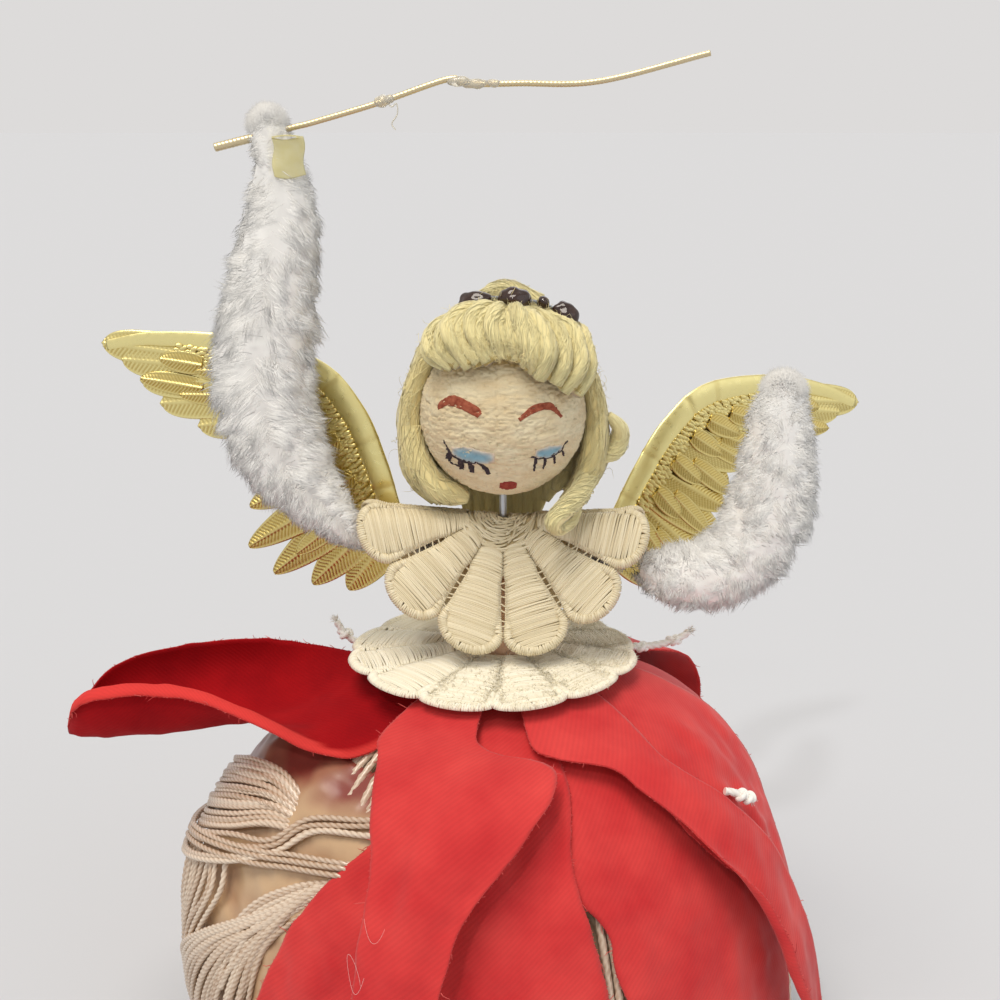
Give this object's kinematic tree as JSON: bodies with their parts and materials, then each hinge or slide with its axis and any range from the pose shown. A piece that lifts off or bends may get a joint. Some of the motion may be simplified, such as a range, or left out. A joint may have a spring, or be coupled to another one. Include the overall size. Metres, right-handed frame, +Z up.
{
  "type": "angel ornament",
  "caption": "Angel tree-top or table ornament: spun-cotton head with yarn hair, chenille arms with a wand, foil wings, lace collar and a hollow bell skirt of cloth petals over cord.",
  "frame": {"origin": "middle of the skirt form's open foot, where a tree's tip or a stand goes in", "axes": "+Z up through the neck wire, the angel faces -Y and its left side is +X"},
  "size_m": [0.1819, 0.1438, 0.2214],
  "materials": {
    "card": "plain card",
    "rayon_cord": "twisted, shiny",
    "red_cotton": "fine twill, cut edges",
    "peach_felt": "felt",
    "steel_wire": "bare wire",
    "cream_lace": "embroidered lace",
    "white_chenille": "long soft pile",
    "gold_wire": "foil-wrapped wire",
    "old_paper": "yellowed, translucent",
    "spun_cotton": "pressed fibre with a painted face",
    "wool_yarn": "brushed yarn",
    "brown_glass": "polished",
    "gold_foil": "embossed foil"
  },
  "bodies": {
    "body": {"skirt_form": "card", "skirt_cord": "rayon_cord", "under_petal_front_right": "red_cotton", "under_petal_front": "red_cotton", "under_petal_front_left": "red_cotton", "under_petal_left": "red_cotton", "under_petal_back_left": "red_cotton", "under_petal_back": "red_cotton", "under_petal_back_right": "red_cotton", "petal_left": "red_cotton", "petal_front_left": "red_cotton", "petal_front_right": "red_cotton", "petal_back_left": "red_cotton", "petal_back_right": "red_cotton", "petal_right_curled": "red_cotton", "cord_end_right": "rayon_cord", "cord_end_left": "rayon_cord", "cord_end_side": "rayon_cord", "torso": "peach_felt", "spine_wire": "steel_wire", "peplum": "cream_lace", "collar": "cream_lace", "shoulder_stem": "white_chenille", "wing_strap": "gold_foil", "wing_right": "gold_foil", "wing_left": "gold_foil"},
    "head": {"head_ball": "spun_cotton", "hair_back": "wool_yarn", "hair_fringe": "wool_yarn", "hair_top_knot": "wool_yarn", "tiara_wire": "steel_wire", "bead_right": "brown_glass", "bead_middle": "brown_glass", "bead_spacer": "brown_glass", "bead_left": "brown_glass"},
    "raised_arm": {"raised_arm": "white_chenille", "wand_tab": "old_paper"},
    "low_arm": {"low_arm": "white_chenille"},
    "wand": {"wand": "gold_wire"}
  },
  "joints": [
    {"name": "head_turn", "type": "hinge", "parent": "body", "child": "head", "pos_m": [0, 0, 0.1492], "axis": [0, 0, 1], "range_deg": [-15, 15]},
    {"name": "raised_arm_bend", "type": "hinge", "parent": "body", "child": "raised_arm", "pos_m": [-0.03, 0.0015, 0.121], "axis": [0, 1, 0], "range_deg": [-25, 8]},
    {"name": "low_arm_bend", "type": "hinge", "parent": "body", "child": "low_arm", "pos_m": [0.03, 0.0015, 0.1148], "axis": [0, 1, 0], "range_deg": [-20, 10]},
    {"name": "wand_turn", "type": "hinge", "parent": "raised_arm", "child": "wand", "pos_m": [-0.0462, -0.0015, 0.2055], "axis": [0.9713, 0, 0.238], "range_deg": [-30, 30]}
  ]
}
